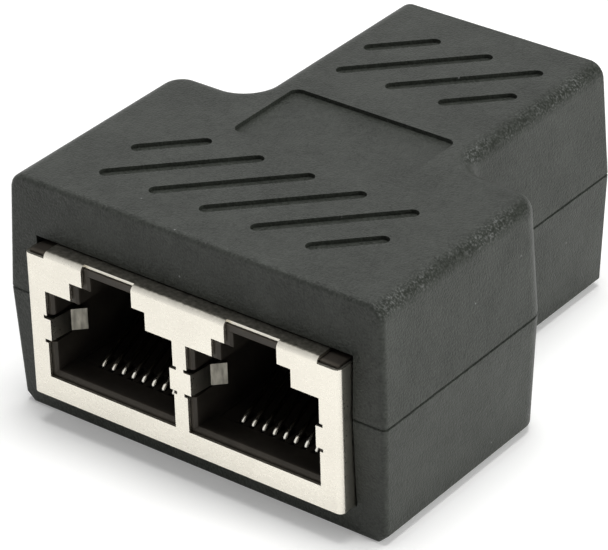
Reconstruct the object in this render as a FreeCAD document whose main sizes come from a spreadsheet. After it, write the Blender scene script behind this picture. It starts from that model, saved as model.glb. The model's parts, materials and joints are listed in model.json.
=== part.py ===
"""Ethernet splitter adapter: two jacks at the front, one at the back, in a two-shell moulded casing.

Millimetres. +Z is up, the two-port end faces -Y, and the origin is the middle of the underside.
"""
import FreeCAD, Part
import math
import os
import Sketcher

# Driving dimensions of the object.
SIZES = {
    # Moulded casing, its outline taken at the seam
    "case_length": 42.0,
    "case_width": 36.6,
    "case_height": 21.0,
    "wide_length": 21.5,
    "seam_height": 10.7,
    "draft_angle": 2.2,
    "shoulder_radius": 2.2,
    "inner_corner_radius": 2.7,
    "top_edge_radius": 1.4,
    "base_chamfer": 0.8,
    "end_radius": 0.45,
    "seam_chamfer": 0.12,
    "case_wall": 1.85,
    "neck_wall": 1.65,
    "roof_thickness": 1.5,
    "floor_thickness": 1.0,
    "tongue_height": 0.8,
    "tongue_width": 0.7,
    "fit_gap": 0.1,
    # Grip grooves and shallow panel on the top
    "groove_width": 1.15,
    "groove_depth": 0.36,
    "groove_angle": 45.0,
    "groove_pitch": 4.94,
    "long_groove": 12.9,
    "short_groove": 6.4,
    "short_groove_shift": 2.15,
    "wide_groove_setback": 8.75,
    "neck_groove_setback": 9.3,
    "panel_width": 15.85,
    "panel_length": 8.45,
    "panel_setback": 15.5,
    "panel_depth": 0.35,
    "panel_radius": 0.8,
    # Circuit board and the ribs that hold it
    "board_thickness": 1.0,
    "board_lift": 0.85,
    "board_gap": 0.3,
    "rib_width": 1.2,
    "rail_setback": 10.0,
    "rail_length": 7.0,
    "ledge_width": 0.5,
    "pin_hole": 0.62,
    # Folded shields, with the room between their sides and the outside of the casing
    "side_margin": 3.08,
    "neck_margin": 2.3,
    "shield_proud": 1.45,
    "sheet": 0.25,
    "bend_radius": 0.5,
    "shield_height": 13.25,
    "shield_depth": 14.0,
    "relief_width": 2.0,
    "relief_height": 0.5,
    "leg_width": 1.4,
    "leg_length": 1.3,
    "leg_depth": 8.4,
    # Stepped port cut-out, measured up from the board, and the sheet left between and beside the ports
    "port_bar": 1.32,
    "shield_bar": 1.91,
    "cutout_base": 1.95,
    "cutout_height": 7.82,
    "step_width": 7.5,
    "step_height": 1.6,
    "notch_width": 4.97,
    # Spring tabs beside each cut-out
    "tab_base": 5.35,
    "tab_height": 1.9,
    "tab_root": 0.36,
    "tab_lean": 0.24,
    "tab_bend_depth": 2.15,
    "tab_reach": 0.92,
    "tab_nick": 0.3,
    # Insulators
    "lip": 0.45,
    "lip_bevel": 0.2,
    "notch_roof": 0.7,
    "housing_gap": 0.55,
    "housing_wall": 1.6,
    "catch_depth": 1.5,
    "post_width": 1.9,
    "post_length": 1.2,
    "post_depth": 5.2,
    "post_inset": 0.25,
    # Contact carrier and contacts
    "insert_gap": 0.475,
    "insert_front": 2.75,
    "insert_top": 2.35,
    "insert_back": 0.95,
    "insert_back_height": 8.6,
    "contact_pitch": 1.016,
    "contact_width": 0.36,
    "contact_thickness": 0.3,
    "contact_slot": 0.54,
    "contact_run_height": 1.1,
    "contact_bend": 0.82,
    "contact_elbow": 0.3,
    "contact_bend_depth": 3.95,
    "contact_arm_angle": 26.0,
    "contact_tip_gap": 1.4,
    "pin_row_depth": 7.6,
    "pin_row_pitch": 2.54,
    "pin_tail": 0.42,
}
CONTACTS = 8
BEND_STEPS = 4
LONG_GROOVES_WIDE = 4
LONG_GROOVES_NECK = 2

doc = FreeCAD.newDocument("ethernet_splitter")
sheet = doc.addObject("Spreadsheet::Sheet", "Sizes")
for row, (alias, number) in enumerate(SIZES.items(), start=1):
    sheet.set(f"A{row}", alias)
    sheet.set(f"B{row}", str(number))
    sheet.setAlias(f"B{row}", alias)
doc.recompute()

# Places that several pieces share, worked out from the sheet.
FRONT = "-Sizes.case_length / 2"
BACK = "Sizes.case_length / 2"
SHOULDER = "(-Sizes.case_length / 2 + Sizes.wide_length)"
BOARD_TOP = "(Sizes.floor_thickness + Sizes.board_lift + Sizes.board_thickness)"
SHIELD_TOP = f"({BOARD_TOP} + Sizes.shield_height)"
ROOF = "(Sizes.case_height - Sizes.roof_thickness)"
DUAL_WIDTH = "(Sizes.case_width - 2 * Sizes.side_margin)"
CUTOUT = f"(({DUAL_WIDTH} - Sizes.port_bar) / 2 - Sizes.shield_bar)"
PORT_PITCH = f"({CUTOUT} + Sizes.port_bar)"
SINGLE_WIDTH = f"({CUTOUT} + 2 * Sizes.shield_bar)"
NECK_WIDTH = f"({SINGLE_WIDTH} + 2 * Sizes.neck_margin)"
HOUSING_FRONT = "(Sizes.sheet + Sizes.fit_gap)"
HOUSING_BACK = "(Sizes.shield_depth - Sizes.sheet - Sizes.housing_gap)"
CAVITY_BACK = f"({HOUSING_BACK} - Sizes.housing_wall)"
INSERT_WIDTH = f"({CUTOUT} - 2 * (Sizes.lip + Sizes.insert_gap))"
STEP_TOP = "(Sizes.cutout_base + Sizes.cutout_height + Sizes.step_height)"
MAIN_TOP = "(Sizes.cutout_base + Sizes.cutout_height)"
CAVITY_FLOOR = "(Sizes.cutout_base + Sizes.lip)"


def size(expression):
    """Value of an expression in the sheet's names."""
    return float(sheet.evalExpression(str(expression)))


def new_body(label):
    body = doc.addObject("PartDesign::Body", label)
    body.Label = label
    return body


def new_jack_body(label, seat):
    """Body in a jack's own frame: Y runs in from the shield's face and Z up from the board."""
    face, turn = seat
    body = new_body(label)
    body.Placement = FreeCAD.Placement(FreeCAD.Vector(), FreeCAD.Rotation(turn, 0, 0))
    body.setExpression("Placement.Base.y", face)
    body.setExpression("Placement.Base.z", BOARD_TOP)
    return body


def new_sketch(body, role, offset="0", turn=0.0):
    """Sketch on one of the body's own origin planes, moved along the plane's normal."""
    sketch = body.newObject("Sketcher::SketchObject", f"{body.Label}_sketch")
    base = [feature for feature in body.Origin.OriginFeatures if feature.Role == role][0]
    sketch.AttachmentSupport = (base, [""])
    sketch.MapMode = "FlatFace"
    sketch.AttachmentOffset = FreeCAD.Placement(FreeCAD.Vector(), FreeCAD.Rotation(turn, 0, 0))
    sketch.setExpression("AttachmentOffset.Base.z", str(offset))
    return sketch


def bind(sketch, kind, geometry, point, expression):
    """Distance from the sketch's origin to a point, bound to the sheet."""
    constraint = Sketcher.Constraint(kind, -1, 1, geometry, point, size(expression))
    number = sketch.addConstraint(constraint)
    sketch.setExpression(f"Constraints[{number}]", str(expression))


def add_polygon(sketch, corners):
    """Closed outline whose corners are pairs of expressions."""
    first = sketch.GeometryCount
    count = len(corners)
    places = [FreeCAD.Vector(size(x), size(y), 0) for x, y in corners]
    for index in range(count):
        sketch.addGeometry(Part.LineSegment(places[index], places[(index + 1) % count]))
    for index in range(count):
        following = first + (index + 1) % count
        sketch.addConstraint(Sketcher.Constraint("Coincident", first + index, 2, following, 1))
    for index, (x, y) in enumerate(corners):
        bind(sketch, "DistanceX", first + index, 1, x)
        bind(sketch, "DistanceY", first + index, 1, y)


def add_rectangle(sketch, left, right, low, high):
    add_polygon(sketch, [(left, low), (right, low), (right, high), (left, high)])


def add_window(sketch, x, y, width, depth):
    """Rectangle centred on a point."""
    add_rectangle(sketch, f"{x} - ({width}) / 2", f"{x} + ({width}) / 2",
                  f"{y} - ({depth}) / 2", f"{y} + ({depth}) / 2")


def add_slot(sketch, x, y, length, width):
    """Round-ended slot along the sketch's X, centred on a point."""
    middle = FreeCAD.Vector(size(x), size(y), 0)
    radius = size(width) / 2
    reach = size(length) / 2 - radius
    normal = FreeCAD.Vector(0, 0, 1)
    right = Part.Circle(middle + FreeCAD.Vector(reach, 0, 0), normal, radius)
    left = Part.Circle(middle - FreeCAD.Vector(reach, 0, 0), normal, radius)
    up = FreeCAD.Vector(0, radius, 0)
    along = FreeCAD.Vector(reach, 0, 0)
    quarter = math.pi / 2
    right_arc = sketch.addGeometry(Part.ArcOfCircle(right, -quarter, quarter))
    top = sketch.addGeometry(Part.LineSegment(middle + along + up, middle - along + up))
    left_arc = sketch.addGeometry(Part.ArcOfCircle(left, quarter, 3 * quarter))
    base = sketch.addGeometry(Part.LineSegment(middle - along - up, middle + along - up))
    sketch.addConstraint(Sketcher.Constraint("Tangent", right_arc, 2, top, 1))
    sketch.addConstraint(Sketcher.Constraint("Tangent", top, 2, left_arc, 1))
    sketch.addConstraint(Sketcher.Constraint("Tangent", left_arc, 2, base, 1))
    sketch.addConstraint(Sketcher.Constraint("Tangent", base, 2, right_arc, 1))
    sketch.addConstraint(Sketcher.Constraint("Horizontal", top))
    bind(sketch, "DistanceX", right_arc, 3, f"{x} + ({length} - {width}) / 2")
    bind(sketch, "DistanceX", left_arc, 3, f"{x} - ({length} - {width}) / 2")
    bind(sketch, "DistanceY", right_arc, 3, y)
    number = sketch.addConstraint(Sketcher.Constraint("Radius", right_arc, radius))
    sketch.setExpression(f"Constraints[{number}]", f"{width} / 2")


def settle(body, feature):
    """Make a feature the body's tip, and stop if it can't be worked out."""
    body.Tip = feature
    doc.recompute()
    if {"Invalid", "Error"} & set(feature.State) or feature.Shape.isNull():
        raise RuntimeError(f"{feature.Label} failed: {feature.State}")
    return feature


def sweep(body, kind, sketch, length, reverse):
    """Pad or Pocket of a sketch, with its length bound to the sheet."""
    before = body.Shape.Volume if body.Tip is not None else 0.0
    feature = body.newObject(f"PartDesign::{kind}", f"{body.Label}_{kind.lower()}")
    feature.Profile = sketch
    feature.setExpression("Length", str(length))
    feature.Reversed = reverse
    settle(body, feature)
    change = feature.Shape.Volume - before
    if (kind == "Pad") != (change > 0):
        raise RuntimeError(f"{feature.Label} changed the volume by {change:.3f}")
    return feature


def pad(body, sketch, length, reverse=False):
    return sweep(body, "Pad", sketch, length, reverse)


def pocket(body, sketch, length, reverse=False):
    return sweep(body, "Pocket", sketch, length, reverse)


def repeat(body, feature, count, pitch):
    """Row of copies of a feature along X."""
    pattern = body.newObject("PartDesign::LinearPattern", f"{body.Label}_row")
    pattern.Originals = [feature]
    axis = [item for item in body.Origin.OriginFeatures if item.Role == "X_Axis"][0]
    pattern.Direction = (axis, [""])
    pattern.Mode = "Spacing"
    pattern.Occurrences = count
    pattern.setExpression("Offset", str(pitch))
    return settle(body, pattern)


def edges_where(feature, test):
    return [f"Edge{number}" for number, edge in enumerate(feature.Shape.Edges, 1) if test(edge)]


def dress(body, kind, prop, edges, expression):
    """Fillet or Chamfer on some edges of the body's tip."""
    base = body.Tip
    feature = body.newObject(f"PartDesign::{kind}", f"{body.Label}_{kind.lower()}")
    feature.Base = (base, edges)
    feature.setExpression(prop, str(expression))
    return settle(body, feature)


def fillet(body, edges, radius):
    return dress(body, "Fillet", "Radius", edges, radius)


def chamfer(body, edges, width):
    return dress(body, "Chamfer", "Size", edges, width)


def near(value, target):
    return abs(value - target) < 0.01


def ends(edge):
    return [vertex.Point for vertex in edge.Vertexes]


def case_outline(inset, neck_inset, end_inset):
    """T-shaped plan of the casing, drawn in from its sides, the neck's sides and both ends."""
    half = f"(Sizes.case_width / 2 - {inset})"
    neck = f"({NECK_WIDTH} / 2 - {neck_inset})"
    front = f"({FRONT} + {end_inset})"
    back = f"({BACK} - {end_inset})"
    shoulder = f"({SHOULDER} - {inset})"
    right = [(half, front), (half, shoulder), (neck, shoulder), (neck, back)]
    left = [(f"-{x}", y) for x, y in reversed(right)]
    return right + left


def shell_block(label, length, upward):
    """Drafted half of the casing, from the seam to the top or to the underside."""
    body = new_body(label)
    sketch = new_sketch(body, "XY_Plane", "Sizes.seam_height")
    add_polygon(sketch, case_outline("0", "0", "0"))
    block = pad(body, sketch, length, reverse=not upward)
    seam = size("Sizes.seam_height")
    flat = seam + size(length) * (1 if upward else -1)

    walls = [f"Face{n}" for n, face in enumerate(block.Shape.Faces, 1) if near(face.normalAt(0, 0).z, 0)]
    seam_faces = [f"Face{n}" for n, face in enumerate(block.Shape.Faces, 1)
                  if near(face.CenterOfMass.z, seam) and near(face.BoundBox.ZLength, 0)]
    draft = body.newObject("PartDesign::Draft", f"{label}_draft")
    draft.Base = (block, walls)
    draft.NeutralPlane = (block, seam_faces)
    draft.Reversed = not upward
    draft.setExpression("Angle", "Sizes.draft_angle")
    settle(body, draft)

    def at_seam(point):
        return near(point.z, seam)

    def shoulder_corner(edge, outer):
        """Upright edges of the shoulders: the outer pair, or the pair where the neck starts."""
        split = size(f"(Sizes.case_width + {NECK_WIDTH}) / 4")
        low = [point for point in ends(edge) if at_seam(point)]
        upright = len(low) == 1 and near(low[0].y, size(SHOULDER))
        return upright and (abs(low[0].x) > split) == outer

    outer = edges_where(body.Tip, lambda edge: shoulder_corner(edge, True))
    fillet(body, outer, "Sizes.shoulder_radius")
    inner = edges_where(body.Tip, lambda edge: shoulder_corner(edge, False))
    fillet(body, inner, "Sizes.inner_corner_radius")

    def on_end(point):
        """True for a point of the front or the back face."""
        slope = abs(point.z - seam) * math.tan(math.radians(size("Sizes.draft_angle")))
        return near(point.y, size(FRONT) + slope) or near(point.y, size(BACK) - slope)

    def end_face(edge):
        return all(on_end(point) for point in ends(edge))

    def flat_side(edge):
        return all(near(point.z, flat) for point in ends(edge)) and not end_face(edge)

    sides = edges_where(body.Tip, flat_side)
    if upward:
        fillet(body, sides, "Sizes.top_edge_radius")
    else:
        chamfer(body, sides, "Sizes.base_chamfer")
    fillet(body, edges_where(body.Tip, lambda edge: end_face(edge) and not all(map(at_seam, ends(edge)))),
           "Sizes.end_radius")
    chamfer(body, edges_where(body.Tip, lambda edge: all(map(at_seam, ends(edge)))), "Sizes.seam_chamfer")
    return body


def cut_jack_mouths(body):
    """Openings in the end walls that the two shields stand out of."""
    depth = "Sizes.case_wall + 2 * Sizes.fit_gap"
    for width, place, reverse in ((DUAL_WIDTH, f"-({FRONT})", True), (SINGLE_WIDTH, f"-({BACK})", False)):
        sketch = new_sketch(body, "XZ_Plane", place)
        half = f"({width} / 2 + Sizes.fit_gap)"
        low = f"{BOARD_TOP} - Sizes.fit_gap"
        add_rectangle(sketch, f"-{half}", half, low, f"{SHIELD_TOP} + Sizes.fit_gap")
        pocket(body, sketch, depth, reverse=not reverse)


CAVITY = ("Sizes.case_wall", "Sizes.neck_wall", "Sizes.case_wall")
TONGUE = [f"({inset} - Sizes.tongue_width)" for inset in CAVITY]
GROOVE = [f"({inset} - Sizes.tongue_width - Sizes.fit_gap)" for inset in CAVITY]


def make_upper_shell():
    height = "(Sizes.case_height - Sizes.seam_height)"
    body = shell_block("upper_shell", height, upward=True)
    sketch = new_sketch(body, "XY_Plane", "Sizes.seam_height")
    add_polygon(sketch, case_outline(*CAVITY))
    pocket(body, sketch, f"{height} - Sizes.roof_thickness", reverse=True)
    sketch = new_sketch(body, "XY_Plane", "Sizes.seam_height")
    add_polygon(sketch, case_outline(*GROOVE))
    pocket(body, sketch, "Sizes.tongue_height + Sizes.fit_gap", reverse=True)
    cut_jack_mouths(body)

    # Ribs that reach down from the roof and hold each jack on the board
    sketch = new_sketch(body, "XY_Plane", f"{SHIELD_TOP} + Sizes.fit_gap")
    for width, middle in ((DUAL_WIDTH, f"{FRONT} - Sizes.shield_proud + Sizes.shield_depth / 2"),
                          (SINGLE_WIDTH, f"{BACK} + Sizes.shield_proud - Sizes.shield_depth / 2")):
        half = f"({width} / 2 - Sizes.relief_width)"
        add_rectangle(sketch, f"-{half}", half, f"{middle} - Sizes.rib_width / 2",
                      f"{middle} + Sizes.rib_width / 2")
    pad(body, sketch, f"{ROOF} - {SHIELD_TOP} - Sizes.fit_gap + Sizes.roof_thickness / 2")

    # Long grip grooves in two rows, and the short one at each end of a row
    rows = ((LONG_GROOVES_WIDE, f"{FRONT} + Sizes.wide_groove_setback"),
            (LONG_GROOVES_NECK, f"{BACK} - Sizes.neck_groove_setback"))
    for count, row_y in rows:
        first_x = f"(-Sizes.groove_pitch * {(count - 1) / 2})"
        cut_groove(body, first_x, row_y, "Sizes.long_groove")
        repeat(body, body.Tip, count, "Sizes.groove_pitch")
        outer_x = f"(Sizes.groove_pitch * {(count + 1) / 2} - Sizes.short_groove_shift)"
        cut_groove(body, f"-{outer_x}", f"{row_y} + Sizes.short_groove_shift", "Sizes.short_groove")
        cut_groove(body, outer_x, f"{row_y} - Sizes.short_groove_shift", "Sizes.short_groove")

    # Shallow bare panel
    sketch = new_sketch(body, "XY_Plane", "Sizes.case_height")
    half = "Sizes.panel_width / 2"
    low = f"{FRONT} + Sizes.panel_setback"
    add_rectangle(sketch, f"-{half}", half, low, f"{low} + Sizes.panel_length")
    pocket(body, sketch, "Sizes.panel_depth")

    def panel_corner(edge):
        high = size("Sizes.case_height")
        points = ends(edge)
        heights = sorted(point.z for point in points)
        upright = near(points[0].x, points[-1].x) and near(points[0].y, points[-1].y)
        deep = near(heights[0], high - size("Sizes.panel_depth")) and near(heights[-1], high)
        return upright and deep and near(abs(points[0].x), size(half))

    fillet(body, edges_where(body.Tip, panel_corner), "Sizes.panel_radius")
    return body


def cut_groove(body, x, y, length):
    """One slanting round-ended groove in the top, centred on (x, y)."""
    angle = size("Sizes.groove_angle")
    sketch = new_sketch(body, "XY_Plane", "Sizes.case_height", turn=angle)
    sketch.setExpression("AttachmentOffset.Base.x", x)
    sketch.setExpression("AttachmentOffset.Base.y", y)
    sketch.setExpression("AttachmentOffset.Rotation.Angle", "Sizes.groove_angle")
    add_slot(sketch, "0", "0", length, "Sizes.groove_width")
    pocket(body, sketch, "Sizes.groove_depth")


def make_lower_shell():
    body = shell_block("lower_shell", "Sizes.seam_height", upward=False)
    sketch = new_sketch(body, "XY_Plane", "Sizes.seam_height")
    add_polygon(sketch, case_outline(*CAVITY))
    pocket(body, sketch, "Sizes.seam_height - Sizes.floor_thickness")

    # Tongue that locates the upper shell
    sketch = new_sketch(body, "XY_Plane", "Sizes.seam_height - Sizes.tongue_height")
    add_polygon(sketch, case_outline(*TONGUE))
    add_polygon(sketch, case_outline(*CAVITY))
    pad(body, sketch, "2 * Sizes.tongue_height")
    cut_jack_mouths(body)

    # Rails under the sides of the board and ledges under its ends
    sketch = new_sketch(body, "XY_Plane", "Sizes.floor_thickness / 2")
    wide = "(Sizes.case_width / 2 - Sizes.case_wall)"
    neck = f"({NECK_WIDTH} / 2 - Sizes.neck_wall)"
    wide_start = f"({FRONT} + Sizes.rail_setback)"
    neck_end = f"({BACK} - Sizes.rail_setback)"
    for half, low, high in ((wide, wide_start, f"{wide_start} + Sizes.rail_length"),
                            (neck, f"{neck_end} - Sizes.rail_length", neck_end)):
        add_rectangle(sketch, f"{half} - Sizes.rib_width", f"{half} + Sizes.rib_width / 2", low, high)
        add_rectangle(sketch, f"-{half} - Sizes.rib_width / 2", f"-{half} + Sizes.rib_width", low, high)
    outer = "Sizes.case_wall / 2"
    inner = "(Sizes.case_wall + Sizes.board_gap + Sizes.ledge_width)"
    for width, low, high in ((DUAL_WIDTH, f"{FRONT} + {outer}", f"{FRONT} + {inner}"),
                             (SINGLE_WIDTH, f"{BACK} - {inner}", f"{BACK} - {outer}")):
        half = f"({width} / 2 - Sizes.relief_width)"
        add_rectangle(sketch, f"-{half}", half, low, high)
    pad(body, sketch, "Sizes.floor_thickness / 2 + Sizes.board_lift")
    return body


def contact_x(port, index):
    """Place of one contact across the jack, from the jack's middle."""
    return f"({port} + Sizes.contact_pitch * {index - (CONTACTS - 1) / 2})"


def pin_depth(index):
    """The pins stand in two staggered rows."""
    return f"(Sizes.pin_row_depth + Sizes.pin_row_pitch * {index % 2})"


def post_x(width):
    """How far out the insulator's locating posts stand."""
    return f"({width} / 2 - Sizes.sheet - Sizes.fit_gap - Sizes.post_inset - Sizes.post_width / 2)"


def make_board(jacks):
    body = new_body("circuit_board")
    sketch = new_sketch(body, "XY_Plane", "Sizes.floor_thickness + Sizes.board_lift")
    insets = [f"({inset} + Sizes.board_gap)" for inset in CAVITY]
    add_polygon(sketch, case_outline(*insets))
    pad(body, sketch, "Sizes.board_thickness")

    sketch = new_sketch(body, "XY_Plane", BOARD_TOP)
    for face, inward, width, ports in jacks:
        for port in ports:
            for index in range(CONTACTS):
                add_window(sketch, f"{inward} * {contact_x(port, index)}",
                           f"{face} + {inward} * {pin_depth(index)}", "Sizes.pin_hole", "Sizes.pin_hole")
        for side in (-1, 1):
            add_window(sketch, f"{side} * {post_x(width)}", f"{face} + {inward} * Sizes.post_depth",
                       "Sizes.post_width + 2 * Sizes.fit_gap", "Sizes.post_width + 2 * Sizes.fit_gap")
            leg_x = f"{side} * ({width} / 2 - Sizes.sheet / 2)"
            add_window(sketch, leg_x, f"{face} + {inward} * Sizes.leg_depth",
                       "Sizes.sheet + 2 * Sizes.fit_gap", "Sizes.leg_width + 2 * Sizes.fit_gap")
    pocket(body, sketch, "Sizes.board_thickness")
    return body


def stepped_outline(centre, inset, top):
    """Outline of a port: wide for the plug, narrower for the latch, narrowest for its tip."""
    main = f"({CUTOUT} / 2 - {inset})"
    step = f"(Sizes.step_width / 2 - {inset})"
    notch = f"(Sizes.notch_width / 2 - {inset})"
    low = f"(Sizes.cutout_base + {inset})"
    main_top = f"({MAIN_TOP} - {inset})"
    step_top = f"({STEP_TOP} - {inset})"
    right = [(main, low), (main, main_top), (step, main_top), (step, step_top), (notch, step_top),
             (notch, top)]
    outline = [(f"{centre} + {x}", z) for x, z in right]
    outline += [(f"{centre} - {x}", z) for x, z in reversed(right)]
    return outline


def make_shield(label, width, ports, seat):
    """Sheet folded back at the top, the sides and the rear, with the ports and their spring tabs."""
    body = new_jack_body(label, seat)
    half = f"({width} / 2)"
    sketch = new_sketch(body, "XY_Plane", "0")
    add_rectangle(sketch, f"-{half}", half, "0", "Sizes.shield_depth")
    pad(body, sketch, "Sizes.shield_height")
    high = size("Sizes.shield_height")
    deep = size("Sizes.shield_depth")

    def fold(edge, face_front, face_back, face_top):
        """Edges where the sheet turns: face to top, face to sides and top to rear."""
        points = ends(edge)
        front = all(near(point.y, face_front) for point in points)
        back = all(near(point.y, face_back) for point in points)
        top = all(near(point.z, face_top) for point in points)
        upright = near(points[0].x, points[-1].x) and near(points[0].y, points[-1].y)
        return (top and (front or back)) or (upright and front)

    fillet(body, edges_where(body.Tip, lambda edge: fold(edge, 0, deep, high)), "Sizes.bend_radius")

    # Hollow of the folded sheet, open underneath
    sketch = new_sketch(body, "XY_Plane", "0")
    inner = f"({half} - Sizes.sheet)"
    add_rectangle(sketch, f"-{inner}", inner, "Sizes.sheet", "Sizes.shield_depth - Sizes.sheet")
    pocket(body, sketch, "Sizes.shield_height - Sizes.sheet", reverse=True)
    thin = size("Sizes.sheet")
    fillet(body, edges_where(body.Tip, lambda edge: fold(edge, thin, deep - thin, high - thin)),
           "Sizes.bend_radius - Sizes.sheet")

    # Corner reliefs that let the top and the sides fold apart
    sketch = new_sketch(body, "XZ_Plane", "0")
    rim = f"({half} - Sizes.relief_width)"
    low = "Sizes.shield_height - Sizes.relief_height"
    add_rectangle(sketch, rim, f"{half} + Sizes.sheet", low, "Sizes.shield_height + Sizes.sheet")
    add_rectangle(sketch, f"-{half} - Sizes.sheet", f"-{rim}", low, "Sizes.shield_height + Sizes.sheet")
    pocket(body, sketch, "Sizes.shield_depth")

    # Port cut-outs, each running up through the fold at its latch notch
    sketch = new_sketch(body, "XZ_Plane", "0")
    for port in ports:
        add_polygon(sketch, stepped_outline(port, "0", "Sizes.shield_height + Sizes.sheet"))
    pocket(body, sketch, "Sizes.bend_radius")

    # Nicks above and below the root of each spring tab
    sketch = new_sketch(body, "XZ_Plane", "0")
    edge = f"({CUTOUT} / 2)"
    for port in ports:
        left = f"{port} - {edge} - Sizes.tab_nick"
        right = f"{port} + {edge} + Sizes.tab_nick"
        for low in ("Sizes.tab_base - Sizes.tab_nick", "Sizes.tab_base + Sizes.tab_height"):
            add_rectangle(sketch, left, right, low, f"{low} + Sizes.tab_nick")
    pocket(body, sketch, "Sizes.bend_radius")

    # Spring tabs, folded back and then inward
    sketch = new_sketch(body, "XY_Plane", "Sizes.tab_base")
    for port in ports:
        for side in (-1, 1):
            add_polygon(sketch, [(f"{port} + {side} * ({x})", y) for x, y in tab_outline()])
    pad(body, sketch, "Sizes.tab_height")

    # Soldered legs that go down through the board
    sketch = new_sketch(body, "XY_Plane", "-Sizes.leg_length")
    low = "Sizes.leg_depth - Sizes.leg_width / 2"
    high_end = "Sizes.leg_depth + Sizes.leg_width / 2"
    add_rectangle(sketch, inner, half, low, high_end)
    add_rectangle(sketch, f"-{half}", f"-{inner}", low, high_end)
    pad(body, sketch, "Sizes.leg_length + Sizes.sheet")
    return body


def tab_outline():
    """Plan of a spring tab: root on the face, a run back, and a bend in towards the plug."""
    edge = f"{CUTOUT} / 2"
    root = f"{edge} - Sizes.tab_root"
    bend = f"{root} - Sizes.tab_lean"
    tip = f"{bend} - Sizes.tab_reach"
    bend_depth = "Sizes.tab_bend_depth"
    tip_depth = "(Sizes.tab_bend_depth + Sizes.tab_reach)"
    slant = "Sizes.sheet * sin(45)"
    return [(f"{edge} + Sizes.tab_nick", "0"), (root, "0"), (bend, bend_depth), (tip, tip_depth),
            (f"{tip} + {slant}", f"{tip_depth} + {slant}"),
            (f"{bend} + Sizes.sheet", f"{bend_depth} + {slant} / 2"),
            (f"{root} + Sizes.sheet", "Sizes.sheet"), (f"{edge} + Sizes.tab_nick", "Sizes.sheet")]


def make_housing(label, width, ports, seat):
    """Insulator with a stepped cavity for each port, open below for the contact carriers."""
    body = new_jack_body(label, seat)
    half = f"({width} / 2 - Sizes.sheet - Sizes.fit_gap)"
    top = "(Sizes.shield_height - Sizes.sheet - Sizes.fit_gap)"
    notch_top = f"({top} - Sizes.notch_roof)"
    sketch = new_sketch(body, "XY_Plane", "0")
    add_rectangle(sketch, f"-{half}", half, HOUSING_FRONT, HOUSING_BACK)
    pad(body, sketch, top)

    sketch = new_sketch(body, "XZ_Plane", f"-{HOUSING_FRONT}")
    for port in ports:
        add_polygon(sketch, stepped_outline(port, "Sizes.lip", notch_top))
    pocket(body, sketch, f"{CAVITY_BACK} - {HOUSING_FRONT}")

    # Bevelled rim of each cavity
    front = size(HOUSING_FRONT)
    outer = size(half)

    def rim(edge):
        points = ends(edge)
        inside = all(abs(point.x) < outer - 0.01 and 0.01 < point.z < size(top) - 0.01 for point in points)
        return inside and all(near(point.y, front) for point in points)

    chamfer(body, edges_where(body.Tip, rim), "Sizes.lip_bevel")

    # Wider room behind the catch that the plug's latch springs into
    sketch = new_sketch(body, "XZ_Plane", f"-({HOUSING_FRONT} + Sizes.catch_depth)")
    room = "(Sizes.step_width / 2 - Sizes.lip)"
    for port in ports:
        add_rectangle(sketch, f"{port} - {room}", f"{port} + {room}", f"{STEP_TOP} - 2 * Sizes.lip",
                      notch_top)
    pocket(body, sketch, f"{CAVITY_BACK} - {HOUSING_FRONT} - Sizes.catch_depth")

    # Side recesses that the spring tabs fold into
    sketch = new_sketch(body, "XZ_Plane", f"-{HOUSING_FRONT}")
    reach = f"({CUTOUT} / 2 + Sizes.sheet)"
    for port in ports:
        add_rectangle(sketch, f"{port} - {reach}", f"{port} + {reach}", "Sizes.tab_base - Sizes.tab_nick",
                      "Sizes.tab_base + Sizes.tab_height + Sizes.tab_nick")
    pocket(body, sketch, "Sizes.tab_bend_depth + Sizes.tab_reach + Sizes.sheet")

    # Openings underneath for the contact carriers
    sketch = new_sketch(body, "XY_Plane", "0")
    room = f"({INSERT_WIDTH} / 2 + Sizes.fit_gap)"
    for port in ports:
        add_rectangle(sketch, f"{port} - {room}", f"{port} + {room}", "Sizes.insert_front - Sizes.fit_gap",
                      CAVITY_BACK)
    pocket(body, sketch, f"{CAVITY_FLOOR} + Sizes.lip", reverse=True)

    # Square posts that locate the insulator in the board
    sketch = new_sketch(body, "XY_Plane", "-Sizes.post_length")
    for side in (-1, 1):
        add_window(sketch, f"{side} * {post_x(width)}", "Sizes.post_depth", "Sizes.post_width",
                   "Sizes.post_width")
    pad(body, sketch, "Sizes.post_length + Sizes.lip")
    return body


def make_insert(label, port, seat):
    """Contact carrier: a slotted floor with a back wall."""
    body = new_jack_body(label, seat)
    half = f"({INSERT_WIDTH} / 2)"
    back = f"({CAVITY_BACK} - Sizes.fit_gap)"
    sketch = new_sketch(body, "YZ_Plane", f"{port} - {half}")
    wall = f"({back} - Sizes.insert_back)"
    add_polygon(sketch, [("Sizes.insert_front", "0"), (back, "0"), (back, "Sizes.insert_back_height"),
                         (wall, "Sizes.insert_back_height"), (wall, "Sizes.insert_top"),
                         ("Sizes.insert_front", "Sizes.insert_top")])
    pad(body, sketch, INSERT_WIDTH)

    # Slot for each contact: open at the nose, and a channel underneath as far as the pins
    slot_half = "Sizes.contact_slot / 2"
    nose = "(Sizes.contact_bend_depth + Sizes.contact_bend)"
    ceiling = "(Sizes.contact_run_height + Sizes.contact_thickness / 2)"
    last_pin = "(Sizes.pin_row_depth + Sizes.pin_row_pitch + Sizes.contact_thickness)"
    sketch = new_sketch(body, "YZ_Plane", f"{contact_x(port, 0)} - {slot_half}")
    add_polygon(sketch, [("Sizes.insert_front - Sizes.lip", "-Sizes.lip"), (last_pin, "-Sizes.lip"),
                         (last_pin, ceiling), (nose, ceiling), (nose, "Sizes.insert_top + Sizes.lip"),
                         ("Sizes.insert_front - Sizes.lip", "Sizes.insert_top + Sizes.lip")])
    slot = pocket(body, sketch, "Sizes.contact_slot", reverse=True)
    repeat(body, slot, CONTACTS, "Sizes.contact_pitch")
    return body


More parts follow.
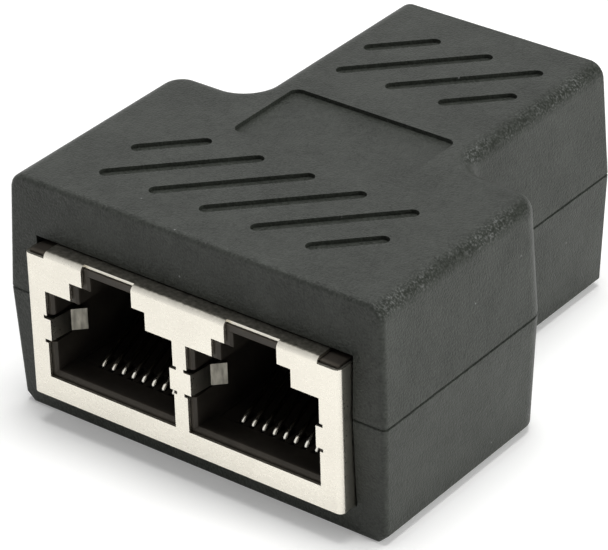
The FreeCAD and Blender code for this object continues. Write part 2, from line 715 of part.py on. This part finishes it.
def contact_outline(index):
    """Side view of a contact as a closed strip: pin, elbow, run, hairpin bend and spring arm."""
    half = "Sizes.contact_thickness / 2"
    pin = pin_depth(index)
    tail = "-(Sizes.board_thickness + Sizes.pin_tail)"
    run_top = f"(Sizes.contact_run_height + {half})"
    run_base = f"(Sizes.contact_run_height - {half})"
    arm = "Sizes.contact_arm_angle"
    tip = f"({CAVITY_BACK} - Sizes.contact_tip_gap)"
    run_in = f"({tip} - Sizes.contact_bend_depth + Sizes.contact_bend * sin({arm}))"

    def hairpin(radius):
        """Corners of the bend from the run round to the arm, and the end of the arm."""
        centre_z = "(Sizes.contact_run_height + Sizes.contact_bend)"
        points = []
        for step in range(BEND_STEPS + 1):
            turn = f"((180 - {arm}) * {step / BEND_STEPS})"
            depth = f"Sizes.contact_bend_depth - {radius} * sin({turn})"
            points.append((depth, f"{centre_z} - {radius} * cos({turn})"))
        last_y, last_z = points[-1]
        points.append((f"{last_y} + {run_in}", f"{last_z} + {run_in} * tan({arm})"))
        return points

    inside = [(f"{pin} + {half}", tail), (f"{pin} + {half}", f"{run_top} - Sizes.contact_elbow"),
              (f"{pin} + {half} - Sizes.contact_elbow", run_top)]
    inside += hairpin(f"(Sizes.contact_bend - {half})")
    outside = [(f"{pin} - {half}", tail), (f"{pin} - {half}", run_base)]
    outside += hairpin(f"(Sizes.contact_bend + {half})")
    return inside + outside[::-1]


def make_contact(label, port, index, seat):
    """Spring contact: a bent strip that rises from the carrier's slot and has its pin in the board."""
    body = new_jack_body(label, seat)
    sketch = new_sketch(body, "YZ_Plane", f"{contact_x(port, index)} - Sizes.contact_width / 2")
    add_polygon(sketch, contact_outline(index))
    pad(body, sketch, "Sizes.contact_width")
    return body


def make_jack(name, width, ports, seat):
    """Shield, insulator, contact carriers and contacts of one jack."""
    places = list(ports.values())
    pieces = [make_shield(f"{name}_shield", width, places, seat),
              make_housing(f"{name}_housing", width, places, seat)]
    for port_name, port in ports.items():
        pieces.append(make_insert(f"{port_name}_insert", port, seat))
        for index in range(CONTACTS):
            pieces.append(make_contact(f"{port_name}_contact_{index + 1}", port, index, seat))
    return pieces


front_face = f"({FRONT} - Sizes.shield_proud)"
back_face = f"({BACK} + Sizes.shield_proud)"
front_ports = {"port_a": f"(-{PORT_PITCH} / 2)", "port_b": f"({PORT_PITCH} / 2)"}
back_ports = {"inlet": "0"}

subparts = [make_upper_shell(), make_lower_shell()]
subparts.append(make_board([(front_face, 1, DUAL_WIDTH, front_ports.values()),
                            (back_face, -1, SINGLE_WIDTH, back_ports.values())]))
subparts += make_jack("dual", DUAL_WIDTH, front_ports, (front_face, 0))
subparts += make_jack("single", SINGLE_WIDTH, back_ports, (back_face, 180))
doc.recompute()

for item in doc.Objects:
    if {"Invalid", "Error"} & set(item.State):
        raise RuntimeError(f"{item.Label} failed: {item.State}")
for piece in subparts:
    if piece.Shape.isNull() or not piece.Shape.isValid() or len(piece.Shape.Solids) != 1:
        raise RuntimeError(f"{piece.Label} isn't one sound solid")

os.makedirs("parts", exist_ok=True)
for piece in subparts:
    piece.Shape.exportStep(f"parts/{piece.Label}.step")
    print(f"{piece.Label}: {piece.Shape.Volume:.2f} mm3")
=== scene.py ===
"""Ethernet splitter adapter: finishes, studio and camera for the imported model."""
import json
import math
import bmesh
import bpy
from mathutils import Matrix, Vector


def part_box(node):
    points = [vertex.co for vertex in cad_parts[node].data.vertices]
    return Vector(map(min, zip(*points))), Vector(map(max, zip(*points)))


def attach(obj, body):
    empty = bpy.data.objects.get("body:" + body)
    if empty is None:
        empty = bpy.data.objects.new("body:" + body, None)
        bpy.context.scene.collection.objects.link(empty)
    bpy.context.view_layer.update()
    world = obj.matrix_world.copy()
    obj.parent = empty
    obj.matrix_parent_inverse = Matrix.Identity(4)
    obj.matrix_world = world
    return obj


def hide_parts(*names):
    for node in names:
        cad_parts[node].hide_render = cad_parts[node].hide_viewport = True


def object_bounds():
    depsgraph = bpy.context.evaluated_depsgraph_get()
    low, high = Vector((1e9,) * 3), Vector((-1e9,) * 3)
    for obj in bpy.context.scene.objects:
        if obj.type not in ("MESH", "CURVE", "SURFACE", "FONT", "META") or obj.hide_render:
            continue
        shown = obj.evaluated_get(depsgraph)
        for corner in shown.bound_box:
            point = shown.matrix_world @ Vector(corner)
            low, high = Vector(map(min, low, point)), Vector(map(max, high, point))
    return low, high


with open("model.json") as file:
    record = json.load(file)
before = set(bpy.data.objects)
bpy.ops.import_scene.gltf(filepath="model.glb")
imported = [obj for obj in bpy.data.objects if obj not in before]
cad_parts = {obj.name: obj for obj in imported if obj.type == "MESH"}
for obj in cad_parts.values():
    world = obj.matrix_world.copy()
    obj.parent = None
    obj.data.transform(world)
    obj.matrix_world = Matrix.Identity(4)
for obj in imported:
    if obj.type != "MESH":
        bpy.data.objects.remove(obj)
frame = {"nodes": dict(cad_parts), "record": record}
cad_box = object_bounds()

MM = 0.001
WHITE = (1.0, 1.0, 1.0, 1.0)

# Camera: where it stands round the object, in degrees, with its distance, pan and lens in millimetres.
VIEW_AZIMUTH = 38.13
VIEW_ELEVATION = 30.92
VIEW_ROLL = -1.7
VIEW_DISTANCE = 298.13
VIEW_PAN = (-4.39, 6.52)
SENSOR_WIDTH = 36.0
FOCAL_LENGTH = 216.36
NEAREST_SEEN = 10.0

# Lamps: place and width in metres, power in watts. A white surface facing up renders close to white.
KEY_PLACE = (0.0, 0.06, 0.95)
KEY_WIDTH = 0.5
KEY_POWER = 6.4
SIDE_PLACE = (0.95, 0.25, 0.2)
SIDE_WIDTH = 0.6
SIDE_POWER = 7.4

# Surroundings: their level as a light, and what reflections see away from the lit wall and on it.
SKY_LEVEL = 0.3
DIM_LEVEL = 0.08
WALL_LEVEL = 0.82

# The lit wall is on the left, where the object's top and front edges reflect it. It starts, and is full, at
# these cosines of the angle from its middle.
LIT_WALL = (-1.0, 0.0, 0.0)
WALL_START = -0.15
WALL_FULL = 0.4

# Floor: half its width in metres, its colour as a light and as it is seen, and its glow.
FLOOR_HALF = 1.5
FLOOR_AS_LIGHT = (0.75, 0.75, 0.74)
FLOOR_AS_SEEN = (0.9, 0.9, 0.89)
FLOOR_ROUGHNESS = 0.9
FLOOR_GLOW = 0.08
FLOOR_CAMERA_GLOW = 0.14

# Range that most values of a noise texture lie in.
NOISE_LOW = 0.3
NOISE_HIGH = 0.7

# Spring contacts of each port, with sizes in millimetres. Heights are from the floor, and depths are from the
# face of the shield.
PORTS = ("port_a", "port_b", "inlet")
CONTACTS = 8
CONTACT_THICKNESS = 0.3
CONTACT_EDGE = 0.11
CONTACT_RUN_HEIGHT = 3.95
CONTACT_ELBOW = 0.35
CONTACT_BEND = 0.82
CONTACT_BEND_DEPTH = 3.95
CONTACT_ARM_ANGLE = 26.0
CONTACT_ARM_LENGTH = 7.35
CONTACT_PIN_DEPTHS = (7.6, 10.14)

# Steps that the round stretches of a contact are drawn in.
ELBOW_STEPS = 6
BEND_STEPS = 24
EDGE_STEPS = 3


def new_material(name):
    """Material with a Principled shader, and its node tree."""
    material = bpy.data.materials.new(name)
    material.use_nodes = True
    return material, material.node_tree, material.node_tree.nodes["Principled BSDF"]


def add_node(tree, kind, **values):
    """New node with the given properties."""
    node = tree.nodes.new(kind)
    for key, value in values.items():
        setattr(node, key, value)
    return node


def object_coordinates(tree, stretch=(1.0, 1.0, 1.0)):
    """Object coordinates in metres, stretched along each axis."""
    coordinates = add_node(tree, "ShaderNodeTexCoord")
    mapping = add_node(tree, "ShaderNodeMapping")
    mapping.inputs["Scale"].default_value = stretch
    tree.links.new(coordinates.outputs["Object"], mapping.inputs["Vector"])
    return mapping.outputs["Vector"]


def axes(tree, vector):
    """A vector's parts along X, Y and Z."""
    node = add_node(tree, "ShaderNodeSeparateXYZ")
    tree.links.new(vector, node.inputs["Vector"])
    return node.outputs


def facing(tree):
    """Parts along X, Y and Z of the direction that the surface faces."""
    geometry = add_node(tree, "ShaderNodeNewGeometry")
    return axes(tree, geometry.outputs["Normal"])


def absolute(tree, value):
    """A value without its sign."""
    node = add_node(tree, "ShaderNodeMath", operation="ABSOLUTE")
    tree.links.new(value, node.inputs[0])
    return node.outputs["Value"]


def combine(tree, operation, first, second):
    """Result of one operation on two values."""
    node = add_node(tree, "ShaderNodeMath", operation=operation)
    tree.links.new(first, node.inputs[0])
    tree.links.new(second, node.inputs[1])
    return node.outputs["Value"]


def spread(tree, value, low, high, start=NOISE_LOW, stop=NOISE_HIGH):
    """Maps a range of values, which is a noise's unless it is given, onto a range of numbers."""
    node = add_node(tree, "ShaderNodeMapRange")
    node.inputs["From Min"].default_value = start
    node.inputs["From Max"].default_value = stop
    node.inputs["To Min"].default_value = low
    node.inputs["To Max"].default_value = high
    tree.links.new(value, node.inputs["Value"])
    return node.outputs["Result"]


def either(tree, factor, off, on):
    """One number where a factor is 0, and another where it is 1."""
    return spread(tree, factor, off, on, start=0.0, stop=1.0)


def noise(tree, vector, grain, detail=3.0):
    """Noise whose blotches are about grain metres across."""
    node = add_node(tree, "ShaderNodeTexNoise")
    node.inputs["Scale"].default_value = 1.0 / grain
    node.inputs["Detail"].default_value = detail
    tree.links.new(vector, node.inputs["Vector"])
    return node.outputs["Fac"]


def specks(tree, vector, spacing, radius):
    """1 in small scattered spots with soft rims, and 0 elsewhere."""
    node = add_node(tree, "ShaderNodeTexVoronoi")
    node.inputs["Scale"].default_value = 1.0 / spacing
    tree.links.new(vector, node.inputs["Vector"])
    rim = radius / spacing
    return spread(tree, node.outputs["Distance"], 1.0, 0.0, start=rim / 2, stop=rim)


def tint(tree, value, dark, light):
    """Colour that runs from dark to light as the value rises."""
    node = add_node(tree, "ShaderNodeMix", data_type="RGBA")
    node.inputs["A"].default_value = (*dark, 1.0)
    node.inputs["B"].default_value = (*light, 1.0)
    tree.links.new(value, node.inputs["Factor"])
    return node.outputs["Result"]


def mixed(tree, value, first, second):
    """First colour where the value is 0, and second where it is 1."""
    node = add_node(tree, "ShaderNodeMix", data_type="RGBA")
    tree.links.new(value, node.inputs["Factor"])
    tree.links.new(first, node.inputs["A"])
    tree.links.new(second, node.inputs["B"])
    return node.outputs["Result"]


def bump(tree, shader, height, depth, strength=1.0):
    """Gives the shader a relief that follows a height."""
    node = add_node(tree, "ShaderNodeBump")
    node.inputs["Distance"].default_value = depth
    node.inputs["Strength"].default_value = strength
    tree.links.new(height, node.inputs["Height"])
    tree.links.new(node.outputs["Normal"], shader.inputs["Normal"])


def rounded_edges(tree, vector):
    """1 where the casing's left and right sides turn into its top, and 0 on the flat faces."""
    # Parts of the normal where an edge starts to turn, and has turned
    flat = 0.15
    turned = 0.45
    # Height of the band under the top that holds the edges, and of its soft lower border
    band = 4.0 * MM
    border = 1.0 * MM

    lowest = cad_box[1][2] - band
    normal = facing(tree)
    off_top = spread(tree, absolute(tree, normal["X"]), 0.0, 1.0, start=flat, stop=turned)
    off_sides = spread(tree, normal["Z"], 0.0, 1.0, start=flat, stop=turned)
    high = spread(tree, axes(tree, vector)["Z"], 0.0, 1.0, start=lowest, stop=lowest + border)
    return combine(tree, "MULTIPLY", combine(tree, "MULTIPLY", off_top, off_sides), high)


def near_an_end(tree, vector, nearest, deepest):
    """1 nearer than a depth behind the faces of the shields, falling to 0 at a greater one."""
    face = cad_box[1][1]
    distance = absolute(tree, axes(tree, vector)["Y"])
    return spread(tree, distance, 0.0, 1.0, start=face - deepest, stop=face - nearest)


def casing_plastic():
    """Dark grey plastic with a fine spark-eroded grain, a few scuffs, and painted glints tinted pale on its
    rounded edges.
    """
    cloud_size = 4.0 * MM
    blotch_size = 0.8 * MM
    grain_size = 0.18 * MM
    cloud_share = 0.25
    blotch_share = 0.15
    grain_share = 0.6
    plain_tints = ((0.0146, 0.0163, 0.0134), (0.0436, 0.0486, 0.0403))
    pale_tints = ((0.16, 0.163, 0.16), (0.26, 0.264, 0.26))
    roughness = (0.36, 0.5)
    sheen = (0.2, 0.46)

    material, tree, shader = new_material("casing_plastic")
    vector = object_coordinates(tree)
    cloud = noise(tree, vector, cloud_size)
    blotch = noise(tree, vector, blotch_size, detail=1.0)
    grain = noise(tree, vector, grain_size, detail=2.0)
    cloudy = spread(tree, cloud, 0.0, cloud_share)
    broad = combine(tree, "ADD", cloudy, spread(tree, blotch, 0.0, blotch_share))
    shade = combine(tree, "ADD", broad, spread(tree, grain, 0.0, grain_share))

    scuffs = specks(tree, vector, spacing=3.2 * MM, radius=0.1 * MM)
    # Painted glints: pale grain tips in patches on the rounded top edges stand in for highlights that sparkle
    # there.
    patches = spread(tree, cloud, low=0.1, high=1.0, start=0.42, stop=0.6)
    tips = spread(tree, grain, low=0.0, high=0.42, start=0.5, stop=0.7)
    edges = combine(tree, "MULTIPLY", rounded_edges(tree, vector), patches)
    painted_glints = combine(tree, "MULTIPLY", edges, tips)
    # Scuffs are real pale marks; the glints beside them are painted highlight.
    scuffs_and_glints = combine(tree, "MAXIMUM", scuffs, painted_glints)

    colour = mixed(tree, scuffs_and_glints, tint(tree, shade, *plain_tints), tint(tree, cloud, *pale_tints))
    tree.links.new(colour, shader.inputs["Base Color"])
    tree.links.new(spread(tree, grain, *roughness), shader.inputs["Roughness"])
    tree.links.new(either(tree, shade, *sheen), shader.inputs["Specular IOR Level"])
    bump(tree, shader, grain, depth=0.075 * MM)
    return material


def nickel_sheet():
    """Bright plated sheet, rolled across its width, with painted shade darkening it, streaked, behind its
    face.
    """
    rolled = (0.4, 1.0, 1.0)
    streaked = (1.0, 1.0, 0.3)
    grain_size = 0.15 * MM
    streak_size = 0.4 * MM
    cloud_size = 3.0 * MM
    bright_tints = ((0.86, 0.82, 0.73), (0.91, 0.87, 0.775))
    painted_shade_tints = ((0.15, 0.143, 0.122), (0.33, 0.313, 0.268))
    roughness = (0.24, 0.36)
    inner_roughness = 0.06

    material, tree, shader = new_material("nickel_sheet")
    shader.inputs["Metallic"].default_value = 1.0
    vector = object_coordinates(tree)
    grain = noise(tree, object_coordinates(tree, rolled), grain_size)
    cloud = spread(tree, noise(tree, vector, cloud_size), 0.0, 1.0)
    streaks = spread(tree, noise(tree, object_coordinates(tree, streaked), streak_size), 0.0, 1.0)

    # Painted shade: upright sheet, such as the spring tabs, darkens over a longer way than the fold on top.
    upright = spread(tree, facing(tree)["Z"], 1.0, 0.0, start=0.2, stop=0.6)
    long_way = near_an_end(tree, vector, nearest=0.05 * MM, deepest=2.0 * MM)
    short_way = near_an_end(tree, vector, nearest=0.05 * MM, deepest=0.4 * MM)
    face = combine(tree, "MAXIMUM", short_way, combine(tree, "MULTIPLY", long_way, upright))

    # Painted shade: dark streaked tints behind the face stand in for the shade inside the ports and along the
    # fold.
    colour = mixed(tree, face, tint(tree, streaks, *painted_shade_tints), tint(tree, cloud, *bright_tints))
    tree.links.new(colour, shader.inputs["Base Color"])
    inner = either(tree, face, inner_roughness, 0.0)
    tree.links.new(combine(tree, "ADD", spread(tree, grain, *roughness), inner), shader.inputs["Roughness"])
    bump(tree, shader, grain, depth=0.0012 * MM, strength=0.3)
    return material


def insulator_plastic():
    """Black satin plastic of the jacks' insides, with a painted highlight making the rim of each port paler.
    """
    cloud_size = 2.0 * MM
    sheen_size = 0.4 * MM
    relief_size = 0.2 * MM
    plain_tints = ((0.0225, 0.0192, 0.0155), (0.0385, 0.033, 0.0268))
    rim_highlight_tints = ((0.05, 0.043, 0.0345), (0.074, 0.0635, 0.051))
    roughness = (0.38, 0.52)
    sheen = 0.25

    material, tree, shader = new_material("insulator_plastic")
    shader.inputs["Specular IOR Level"].default_value = sheen
    vector = object_coordinates(tree)
    cloud = spread(tree, noise(tree, vector, cloud_size), 0.0, 1.0)
    rim = near_an_end(tree, vector, nearest=0.55 * MM, deepest=0.8 * MM)

    # Painted highlight: paler tints at the rim of each port stand in for light caught by its front edge.
    colour = mixed(tree, rim, tint(tree, cloud, *plain_tints), tint(tree, cloud, *rim_highlight_tints))
    tree.links.new(colour, shader.inputs["Base Color"])
    tree.links.new(spread(tree, noise(tree, vector, sheen_size), *roughness), shader.inputs["Roughness"])
    bump(tree, shader, noise(tree, vector, relief_size), depth=0.006 * MM, strength=0.4)
    return material


def contact_gold():
    """Thin gold over nickel on the spring contacts, bright at the bend, with painted shade darkening them
    behind it.
    """
    drawn = (1.0, 0.2, 0.2)
    cloud_size = 0.8 * MM
    sheen_size = 0.3 * MM
    relief_size = 0.2 * MM
    bright_tints = ((0.92, 0.87, 0.76), (0.96, 0.94, 0.86))
    painted_shade_tints = ((0.17, 0.15, 0.11), (0.22, 0.2, 0.15))
    roughness = (0.16, 0.24)

    material, tree, shader = new_material("contact_gold")
    shader.inputs["Metallic"].default_value = 1.0
    vector = object_coordinates(tree, drawn)
    cloud = spread(tree, noise(tree, vector, cloud_size), 0.0, 1.0)
    bend = near_an_end(tree, object_coordinates(tree), nearest=3.7 * MM, deepest=4.3 * MM)

    # Painted shade: the dark tints behind the bend stand in for the shade deep inside each port.
    colour = mixed(tree, bend, tint(tree, cloud, *painted_shade_tints), tint(tree, cloud, *bright_tints))
    tree.links.new(colour, shader.inputs["Base Color"])
    tree.links.new(spread(tree, noise(tree, vector, sheen_size), *roughness), shader.inputs["Roughness"])
    bump(tree, shader, noise(tree, vector, relief_size), depth=0.001 * MM, strength=0.2)
    return material


def board_laminate():
    """Green solder mask over a glass weave."""
    cloud_size = 1.5 * MM
    weave_pitch = 2.0 * MM
    weave_distortion = 1.5
    tints = ((0.012, 0.10, 0.04), (0.02, 0.16, 0.065))
    roughness = (0.28, 0.4)

    material, tree, shader = new_material("board_laminate")
    vector = object_coordinates(tree)
    weave = add_node(tree, "ShaderNodeTexWave", wave_type="BANDS", bands_direction="DIAGONAL")
    weave.inputs["Scale"].default_value = 1.0 / weave_pitch
    weave.inputs["Distortion"].default_value = weave_distortion
    tree.links.new(vector, weave.inputs["Vector"])
    cloud = spread(tree, noise(tree, vector, cloud_size), 0.0, 1.0)

    tree.links.new(tint(tree, cloud, *tints), shader.inputs["Base Color"])
    tree.links.new(spread(tree, weave.outputs["Fac"], *roughness), shader.inputs["Roughness"])
    bump(tree, shader, weave.outputs["Fac"], depth=0.006 * MM, strength=0.3)
    return material


def finish_nodes(finishes):
    """Gives each node of the model the finish of its material slot."""
    for subpart in frame["record"]["subparts"]:
        node = frame["nodes"][subpart["node"]]
        for slot in node.material_slots:
            slot.material = finishes[subpart["material_slot"]]


def arc(centre, radius, start, stop, steps):
    """Points of an arc as (depth, height), with angles in degrees from straight down, turning to the face."""
    points = []
    for step in range(steps + 1):
        angle = math.radians(start + (stop - start) * step / steps)
        points.append((centre[0] - radius * math.sin(angle), centre[1] - radius * math.cos(angle)))
    return points


def contact_path(tail, pin_depth):
    """Middle line of a contact as (depth, height): pin, elbow, run, hairpin bend and spring arm."""
    elbow_centre = (pin_depth - CONTACT_ELBOW, CONTACT_RUN_HEIGHT - CONTACT_ELBOW)
    elbow = arc(elbow_centre, CONTACT_ELBOW, start=270.0, stop=180.0, steps=ELBOW_STEPS)
    bend_centre = (CONTACT_BEND_DEPTH, CONTACT_RUN_HEIGHT + CONTACT_BEND)
    bend = arc(bend_centre, CONTACT_BEND, start=0.0, stop=180.0 - CONTACT_ARM_ANGLE, steps=BEND_STEPS)
    slope = math.radians(CONTACT_ARM_ANGLE)
    depth, height = bend[-1]
    tip = (depth + CONTACT_ARM_LENGTH * math.cos(slope), height + CONTACT_ARM_LENGTH * math.sin(slope))
    return [(pin_depth, tail)] + elbow + bend + [tip]


def strip_section(width):
    """Section of the drawn strip, a rectangle with rounded edges, as (across, thickness)."""
    points = []
    for quarter, (right, top) in enumerate(((1, 1), (-1, 1), (-1, -1), (1, -1))):
        across = right * (width / 2 - CONTACT_EDGE)
        through = top * (CONTACT_THICKNESS / 2 - CONTACT_EDGE)
        for step in range(EDGE_STEPS + 1):
            angle = math.radians(90.0 * (quarter + step / EDGE_STEPS))
            points.append((across + CONTACT_EDGE * math.cos(angle), through + CONTACT_EDGE * math.sin(angle)))
    return points


def sweep_strip(path, section, middle, face, inward):
    """Shape of a strip whose section follows a path, with depths taken inward from a shield's face."""
    shape = bmesh.new()
    rings = []
    for index, (depth, height) in enumerate(path):
        before = path[max(index - 1, 0)]
        after = path[min(index + 1, len(path) - 1)]
        along = Vector((after[0] - before[0], after[1] - before[1])).normalized()
        ring = []
        for across, through in section:
            place = Vector((depth - along.y * through, height + along.x * through))
            ring.append(shape.verts.new((middle + across * MM, face + inward * place.x * MM, place.y * MM)))
        rings.append(ring)
    sides = len(section)
    for first, second in zip(rings, rings[1:]):
        for side in range(sides):
            beside = (side + 1) % sides
            shape.faces.new((first[side], first[beside], second[beside], second[side])).smooth = True
    shape.faces.new(rings[0])
    shape.faces.new(rings[-1])
    bmesh.ops.recalc_face_normals(shape, faces=shape.faces)
    return shape


def make_contact(name, row, finish):
    """Smoothly bent strip in the place of one contact."""
    low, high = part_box(name)
    middle = (low.x + high.x) / 2
    inward = 1.0 if low.y < 0.0 else -1.0
    face = cad_box[0][1] if inward > 0.0 else cad_box[1][1]
    path = contact_path(low.z / MM, CONTACT_PIN_DEPTHS[row])
    section = strip_section((high.x - low.x) / MM)
    shape = sweep_strip(path, section, middle, face, inward)
    mesh = bpy.data.meshes.new(name + "_strip")
    shape.to_mesh(mesh)
    shape.free()
    mesh.materials.append(finish)
    contact = bpy.data.objects.new(name + "_strip", mesh)
    bpy.context.scene.collection.objects.link(contact)
    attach(contact, "root")
    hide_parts(name)


def make_contacts(finish):
    """All the contacts of the three ports, with their pins in two rows."""
    for port in PORTS:
        for index in range(CONTACTS):
            make_contact(f"{port}_contact_{index + 1}", index % len(CONTACT_PIN_DEPTHS), finish)


def seen_directly(tree):
    """1 where the camera or a reflection sees a surface, and 0 where it only sheds light."""
    path = add_node(tree, "ShaderNodeLightPath")
    return combine(tree, "MAXIMUM", path.outputs["Is Camera Ray"], path.outputs["Is Glossy Ray"])


def make_sky():
    """White surroundings, dim as a light, of which reflections see one lit wall."""
    world = bpy.data.worlds.new("studio")
    world.use_nodes = True
    bpy.context.scene.world = world
    tree = world.node_tree
    background = tree.nodes["Background"]
    background.inputs["Color"].default_value = WHITE
    direction = add_node(tree, "ShaderNodeTexCoord")
    nearness = add_node(tree, "ShaderNodeVectorMath", operation="DOT_PRODUCT")
    nearness.inputs[1].default_value = LIT_WALL
    tree.links.new(direction.outputs["Generated"], nearness.inputs[0])
    path = add_node(tree, "ShaderNodeLightPath")
    wall = spread(tree, nearness.outputs["Value"], DIM_LEVEL, WALL_LEVEL, start=WALL_START, stop=WALL_FULL)
    reflected = combine(tree, "MULTIPLY", wall, path.outputs["Is Glossy Ray"])
    seen = combine(tree, "MAXIMUM", reflected, path.outputs["Is Camera Ray"])
    shed = either(tree, seen_directly(tree), SKY_LEVEL, 0.0)
    tree.links.new(combine(tree, "ADD", seen, shed), background.inputs["Strength"])


def floor_paper():
    """Pale paper that looks whiter than the light it sheds."""
    material, tree, shader = new_material("floor_paper")
    shader.inputs["Roughness"].default_value = FLOOR_ROUGHNESS
    shader.inputs["Specular IOR Level"].default_value = 0.0
    shader.inputs["Emission Color"].default_value = WHITE
    seen = seen_directly(tree)
    path = add_node(tree, "ShaderNodeLightPath")
    camera_glow = either(tree, path.outputs["Is Camera Ray"], 0.0, FLOOR_CAMERA_GLOW)
    glow = combine(tree, "ADD", camera_glow, either(tree, seen, 0.0, FLOOR_GLOW))
    tree.links.new(tint(tree, seen, FLOOR_AS_LIGHT, FLOOR_AS_SEEN), shader.inputs["Base Color"])
    tree.links.new(glow, shader.inputs["Emission Strength"])
    return material


def make_floor():
    """Seamless pale sheet under the object, which keeps its shadow."""
    half = FLOOR_HALF
    mesh = bpy.data.meshes.new("floor")
    corners = [(-half, -half, 0.0), (half, -half, 0.0), (half, half, 0.0), (-half, half, 0.0)]
    mesh.from_pydata(corners, [], [(0, 1, 2, 3)])
    mesh.materials.append(floor_paper())
    floor = bpy.data.objects.new("floor", mesh)
    bpy.context.scene.collection.objects.link(floor)


def make_lamp(name, place, size, power, shines=True):
    """Round soft lamp that faces the object, and may be left out of reflections."""
    light = bpy.data.lights.new(name, "AREA")
    light.shape = "DISK"
    light.size = size
    light.energy = power
    lamp = bpy.data.objects.new(name, light)
    lamp.location = place
    lamp.visible_glossy = shines
    lamp.rotation_euler = Vector(place).to_track_quat("Z", "Y").to_euler()
    bpy.context.scene.collection.objects.link(lamp)


def make_camera():
    """Camera that sees the object from its front right and above."""
    azimuth = math.radians(VIEW_AZIMUTH)
    elevation = math.radians(VIEW_ELEVATION)
    back = Vector((math.sin(azimuth) * math.cos(elevation), -math.cos(azimuth) * math.cos(elevation),
                   math.sin(elevation)))
    right = Vector((math.cos(azimuth), math.sin(azimuth), 0.0))
    roll = Matrix.Rotation(math.radians(VIEW_ROLL), 3, back)
    right = roll @ right
    up = back.cross(right)
    place = (right * VIEW_PAN[0] + up * VIEW_PAN[1] + back * VIEW_DISTANCE) * MM
    data = bpy.data.cameras.new("camera")
    data.sensor_fit = "HORIZONTAL"
    data.sensor_width = SENSOR_WIDTH
    data.lens = FOCAL_LENGTH
    data.clip_start = NEAREST_SEEN * MM
    camera = bpy.data.objects.new("camera", data)
    turn = Matrix((right, up, back)).transposed().to_4x4()
    camera.matrix_world = Matrix.Translation(place) @ turn
    bpy.context.scene.collection.objects.link(camera)
    bpy.context.scene.camera = camera


finishes = {
    "casing": casing_plastic(),
    "plated_sheet": nickel_sheet(),
    "insulator": insulator_plastic(),
    "contact_plating": contact_gold(),
    "board": board_laminate(),
}
finish_nodes(finishes)
make_contacts(finishes["contact_plating"])
make_sky()
make_floor()
make_lamp("key_lamp", KEY_PLACE, KEY_WIDTH, KEY_POWER)
make_lamp("side_lamp", SIDE_PLACE, SIDE_WIDTH, SIDE_POWER, shines=False)
make_camera()
bpy.context.scene.view_settings.view_transform = "Standard"
